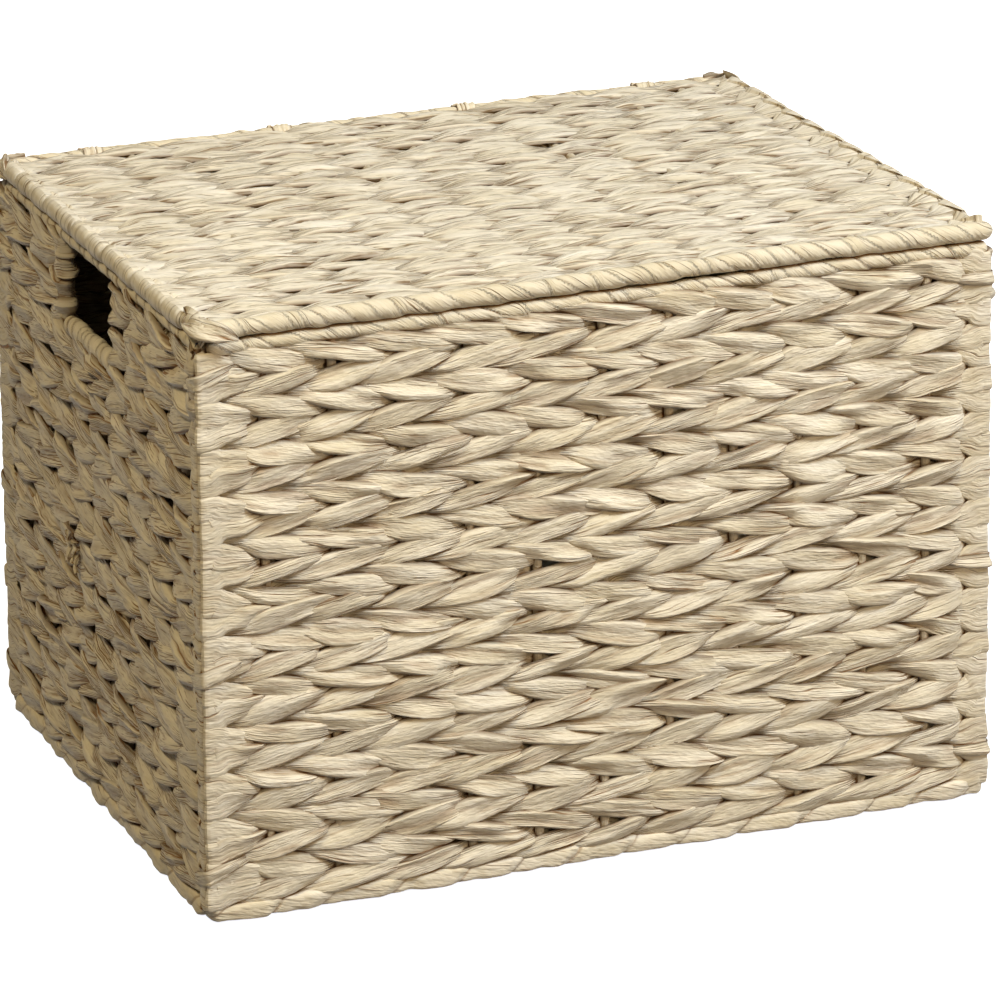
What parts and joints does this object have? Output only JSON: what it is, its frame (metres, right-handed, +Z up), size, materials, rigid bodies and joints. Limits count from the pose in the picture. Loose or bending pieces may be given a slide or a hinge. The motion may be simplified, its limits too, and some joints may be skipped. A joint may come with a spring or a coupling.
{
  "type": "woven storage trunk",
  "caption": "Rectangular lidded storage trunk of flat strands woven on wire frames, with hand holes in both sides and a lid lashed on along its back edge.",
  "frame": {"origin": "middle of the base, on the floor", "axes": "+X along the width to the right, +Y towards the hinge at the back, +Z up; the front faces -Y"},
  "size_m": [0.48, 0.368, 0.3506],
  "materials": {
    "woven_strand": "flat plant-fibre strands, twined in rows, matt, creased lengthwise",
    "wrapping_strand": "the same strand wound tightly round the edge rods, matt with a slight sheen",
    "lashing_strand": "the same strand tied in flat loops, matt",
    "frame_wire": "welded steel wire with a thin dark coat, satin"
  },
  "bodies": {
    "trunk_body": {"back_bottom_rim_wrap": "wrapping_strand", "back_top_rim_wrap": "wrapping_strand", "back_wall_weave": "woven_strand", "back_wall_wire_frame": "frame_wire", "base_weave": "woven_strand", "base_wire_frame": "frame_wire", "corner_tie_back_left_high": "lashing_strand", "corner_tie_back_left_low": "lashing_strand", "corner_tie_back_left_middle": "lashing_strand", "corner_tie_back_right_high": "lashing_strand", "corner_tie_back_right_low": "lashing_strand", "corner_tie_back_right_middle": "lashing_strand", "corner_tie_front_left_high": "lashing_strand", "corner_tie_front_left_low": "lashing_strand", "corner_tie_front_left_middle": "lashing_strand", "corner_tie_front_right_high": "lashing_strand", "corner_tie_front_right_low": "lashing_strand", "corner_tie_front_right_middle": "lashing_strand", "front_bottom_rim_wrap": "wrapping_strand", "front_top_rim_wrap": "wrapping_strand", "front_wall_weave": "woven_strand", "front_wall_wire_frame": "frame_wire", "hinge_lashing_inner_left": "lashing_strand", "hinge_lashing_inner_right": "lashing_strand", "hinge_lashing_outer_left": "lashing_strand", "hinge_lashing_outer_right": "lashing_strand", "left_bottom_rim_wrap": "wrapping_strand", "left_grip_wrap": "wrapping_strand", "left_top_rim_wrap": "wrapping_strand", "left_wall_weave": "woven_strand", "left_wall_wire_frame": "frame_wire", "right_bottom_rim_wrap": "wrapping_strand", "right_grip_wrap": "wrapping_strand", "right_top_rim_wrap": "wrapping_strand", "right_wall_weave": "woven_strand", "right_wall_wire_frame": "frame_wire"},
    "lid": {"lid_back_edge_wrap": "wrapping_strand", "lid_front_edge_wrap": "wrapping_strand", "lid_left_edge_wrap": "wrapping_strand", "lid_right_edge_wrap": "wrapping_strand", "lid_weave": "woven_strand", "lid_wire_frame": "frame_wire"}
  },
  "joints": [
    {"name": "lid_hinge", "type": "hinge", "parent": "trunk_body", "child": "lid", "pos_m": [0, 0.178, 0.34465], "axis": [-1, 0, 0], "range_deg": [0, 110]}
  ]
}
